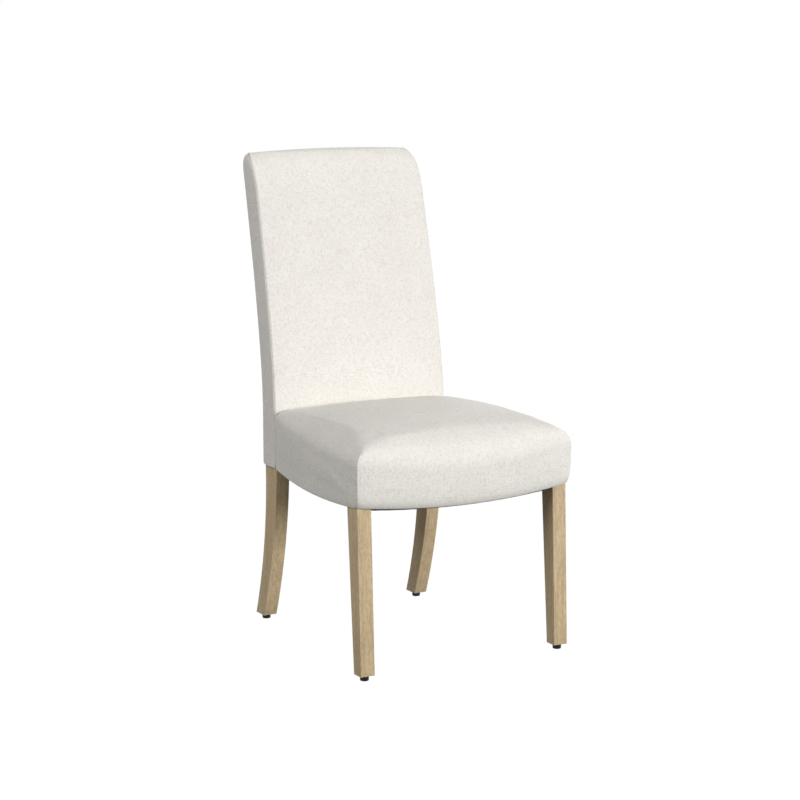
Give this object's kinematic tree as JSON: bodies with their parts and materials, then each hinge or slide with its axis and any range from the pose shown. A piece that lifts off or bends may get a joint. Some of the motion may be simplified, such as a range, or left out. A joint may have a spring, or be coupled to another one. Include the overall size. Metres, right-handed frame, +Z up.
{
  "type": "upholstered dining chair",
  "caption": "Armless dining chair with a tall curved upholstered back, a crowned upholstered seat, square tapered wooden legs and screw-in levelling feet.",
  "frame": {"origin": "middle of the chair's bounding box in plan, on the floor under the feet", "axes": "+Z up, the chair faces -Y, +X towards the right-hand legs as seen from the front"},
  "size_m": [0.4994, 0.6168, 1.01],
  "materials": {
    "oak": "light weathered oak, matte, fine straight grain",
    "frame_wood": "sawn hardwood, unfinished",
    "fibreboard": "smooth hardboard",
    "linen": "off-white linen weave with slubs",
    "foam": "open-cell foam, matte",
    "wadding": "polyester wadding, matte",
    "webbing": "woven elastic webbing",
    "dust_cloth": "black non-woven cloth",
    "steel": "zinc plated",
    "black_plastic": "moulded, satin"
  },
  "bodies": {
    "chair_frame": {"front_leg_left": "oak", "corner_block_front_left": "frame_wood", "corner_bolt_front_left": "steel", "corner_washer_front_left": "steel", "foot_insert_front_left": "steel", "front_leg_right": "oak", "corner_block_front_right": "frame_wood", "corner_bolt_front_right": "steel", "corner_washer_front_right": "steel", "foot_insert_front_right": "steel", "rear_leg_left": "oak", "corner_block_rear_left": "frame_wood", "corner_bolt_rear_left": "steel", "corner_washer_rear_left": "steel", "foot_insert_rear_left": "steel", "rear_leg_right": "oak", "corner_block_rear_right": "frame_wood", "corner_bolt_rear_right": "steel", "corner_washer_rear_right": "steel", "foot_insert_rear_right": "steel", "left_seat_rail": "frame_wood", "right_seat_rail": "frame_wood", "front_seat_rail": "frame_wood", "rear_seat_rail": "frame_wood", "back_lower_rail": "frame_wood", "back_middle_rail": "frame_wood", "back_top_rail": "frame_wood", "seat_cover": "linen", "back_front_cover": "linen", "back_rear_cover": "linen", "back_side_cover_left": "linen", "back_side_cover_right": "linen", "seat_webbing_1": "webbing", "seat_webbing_2": "webbing", "seat_webbing_3": "webbing", "seat_webbing_4": "webbing", "back_webbing_1": "webbing", "back_webbing_2": "webbing", "back_webbing_3": "webbing", "seat_foam": "foam", "back_foam": "foam", "seat_wadding": "wadding", "dust_cover": "dust_cloth", "back_board": "fibreboard"},
    "pad_front_left": {"foot_pad_front_left": "black_plastic"},
    "stem_front_left": {"foot_stem_front_left": "steel"},
    "pad_front_right": {"foot_pad_front_right": "black_plastic"},
    "stem_front_right": {"foot_stem_front_right": "steel"},
    "pad_rear_left": {"foot_pad_rear_left": "black_plastic"},
    "stem_rear_left": {"foot_stem_rear_left": "steel"},
    "pad_rear_right": {"foot_pad_rear_right": "black_plastic"},
    "stem_rear_right": {"foot_stem_rear_right": "steel"}
  },
  "joints": [
    {"name": "foot_travel_front_left", "type": "slide", "parent": "chair_frame", "child": "pad_front_left", "axis": [0, 0, -1], "range_m": [0, 0.008]},
    {"name": "foot_turn_front_left", "type": "hinge", "parent": "pad_front_left", "child": "stem_front_left", "pos_m": [-0.22775, -0.27202, 0.0095], "axis": [0, 0, -1], "range_deg": [0, 2304]},
    {"name": "foot_travel_front_right", "type": "slide", "parent": "chair_frame", "child": "pad_front_right", "axis": [0, 0, -1], "range_m": [0, 0.008]},
    {"name": "foot_turn_front_right", "type": "hinge", "parent": "pad_front_right", "child": "stem_front_right", "pos_m": [0.22775, -0.27202, 0.0095], "axis": [0, 0, -1], "range_deg": [0, 2304]},
    {"name": "foot_travel_rear_left", "type": "slide", "parent": "chair_frame", "child": "pad_rear_left", "axis": [0, 0, -1], "range_m": [0, 0.008]},
    {"name": "foot_turn_rear_left", "type": "hinge", "parent": "pad_rear_left", "child": "stem_rear_left", "pos_m": [-0.1885, 0.23938, 0.0095], "axis": [0, 0, -1], "range_deg": [0, 2304]},
    {"name": "foot_travel_rear_right", "type": "slide", "parent": "chair_frame", "child": "pad_rear_right", "axis": [0, 0, -1], "range_m": [0, 0.008]},
    {"name": "foot_turn_rear_right", "type": "hinge", "parent": "pad_rear_right", "child": "stem_rear_right", "pos_m": [0.1885, 0.23938, 0.0095], "axis": [0, 0, -1], "range_deg": [0, 2304]}
  ],
  "couplings": [
    {"joint": "foot_travel_front_left", "follows": "foot_turn_front_left", "m_per_rad": 0.00019894},
    {"joint": "foot_travel_front_right", "follows": "foot_turn_front_right", "m_per_rad": 0.00019894},
    {"joint": "foot_travel_rear_left", "follows": "foot_turn_rear_left", "m_per_rad": 0.00019894},
    {"joint": "foot_travel_rear_right", "follows": "foot_turn_rear_right", "m_per_rad": 0.00019894}
  ]
}
